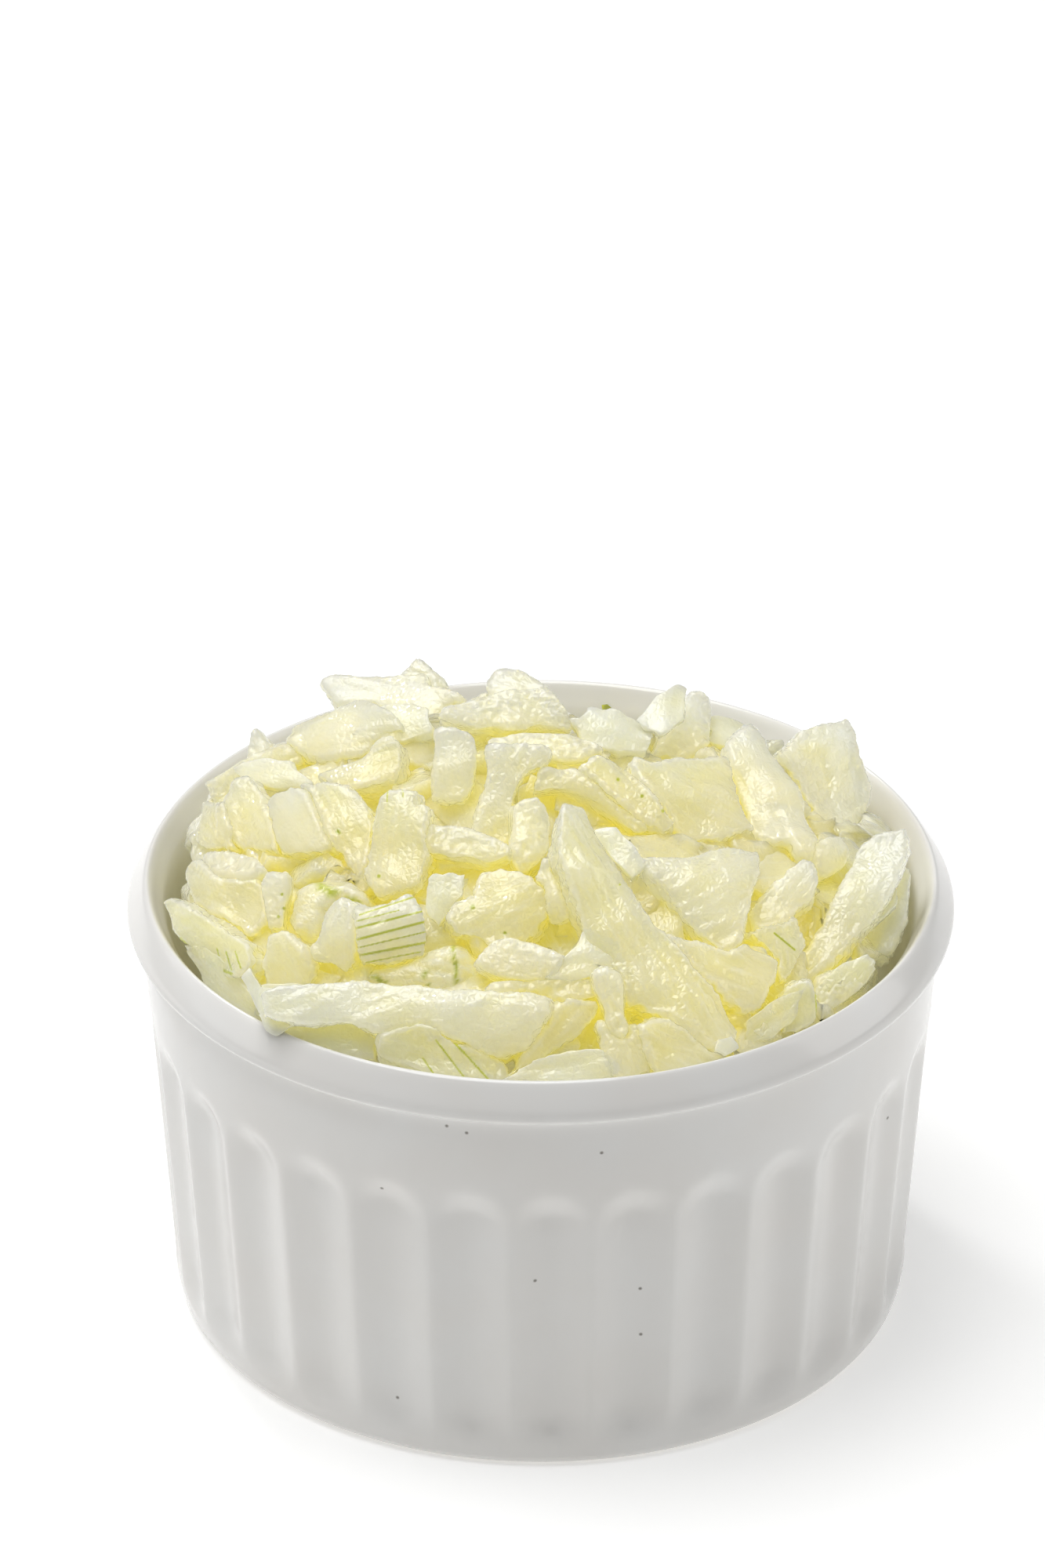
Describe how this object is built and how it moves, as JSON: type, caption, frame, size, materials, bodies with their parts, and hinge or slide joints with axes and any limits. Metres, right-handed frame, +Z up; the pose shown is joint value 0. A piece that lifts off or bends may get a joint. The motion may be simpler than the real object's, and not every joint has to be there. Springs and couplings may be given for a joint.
{
  "type": "ramekin of chopped onion",
  "caption": "White fluted round ramekin heaped with raw chopped onion, strips and chips of pale onion layers standing out above the rim.",
  "frame": {"origin": "centre of the foot, on the surface that the ramekin stands on", "axes": "+Z up out of the mouth, -Y towards the front of the heap, +X to the right of it"},
  "size_m": [0.09, 0.09, 0.0696],
  "materials": {
    "ramekin_glaze": "white glossy glaze, a few dark specks",
    "onion_flesh": "wet translucent raw onion, pale yellow white",
    "onion_green_flesh": "wet translucent raw onion with green veins"
  },
  "bodies": {
    "root": {"back_chip_1": "onion_flesh", "back_chip_2": "onion_flesh", "back_chip_3": "onion_flesh", "back_chip_4": "onion_flesh", "back_chip_5": "onion_flesh", "back_chip_6": "onion_flesh", "back_chip_7": "onion_flesh", "back_chip_8": "onion_flesh", "bar_centre": "onion_flesh", "bean_piece": "onion_flesh", "big_slab_right": "onion_flesh", "block_right": "onion_flesh", "bluish_flake": "onion_flesh", "chip_low_right_b": "onion_green_flesh", "chip_low_right_c": "onion_flesh", "chip_under_big_slab": "onion_flesh", "crescent_right": "onion_flesh", "crest_flake": "onion_flesh", "crumpled_flake": "onion_flesh", "crystal_slab_front": "onion_flesh", "dotted_bar": "onion_green_flesh", "dotted_flake": "onion_green_flesh", "dotted_white_bit": "onion_green_flesh", "flake_front_left": "onion_flesh", "folded_flake": "onion_flesh", "front_strip": "onion_flesh", "green_edged_point": "onion_green_flesh", "green_veined_bit": "onion_green_flesh", "left_centre_slab": "onion_green_flesh", "left_flake_high": "onion_flesh", "left_flake_low": "onion_flesh", "left_round_slab": "onion_flesh", "left_smooth_slab": "onion_flesh", "left_white_chip": "onion_flesh", "long_slab_back": "onion_flesh", "long_strip": "onion_flesh", "lower_bar": "onion_flesh", "middle_slab": "onion_flesh", "onion_bed": "onion_flesh", "pale_chunk_left": "onion_flesh", "ramekin": "ramekin_glaze", "ribbed_chunk": "onion_green_flesh", "ruffled_flake": "onion_flesh", "slab_front_right": "onion_flesh", "small_finger": "onion_flesh", "spike": "onion_flesh", "striped_cap": "onion_green_flesh", "striped_flake_front": "onion_green_flesh", "tall_slab": "onion_flesh", "thin_white_slab": "onion_flesh", "top_chunk": "onion_flesh", "top_left_stack": "onion_flesh", "translucent_peak": "onion_flesh", "triangle_chunk": "onion_flesh", "white_blade_right": "onion_flesh", "white_wedge_back": "onion_flesh", "white_wedge_centre": "onion_flesh", "wide_slab_back": "onion_flesh", "yellow_lobe": "onion_flesh"}
  },
  "joints": []
}
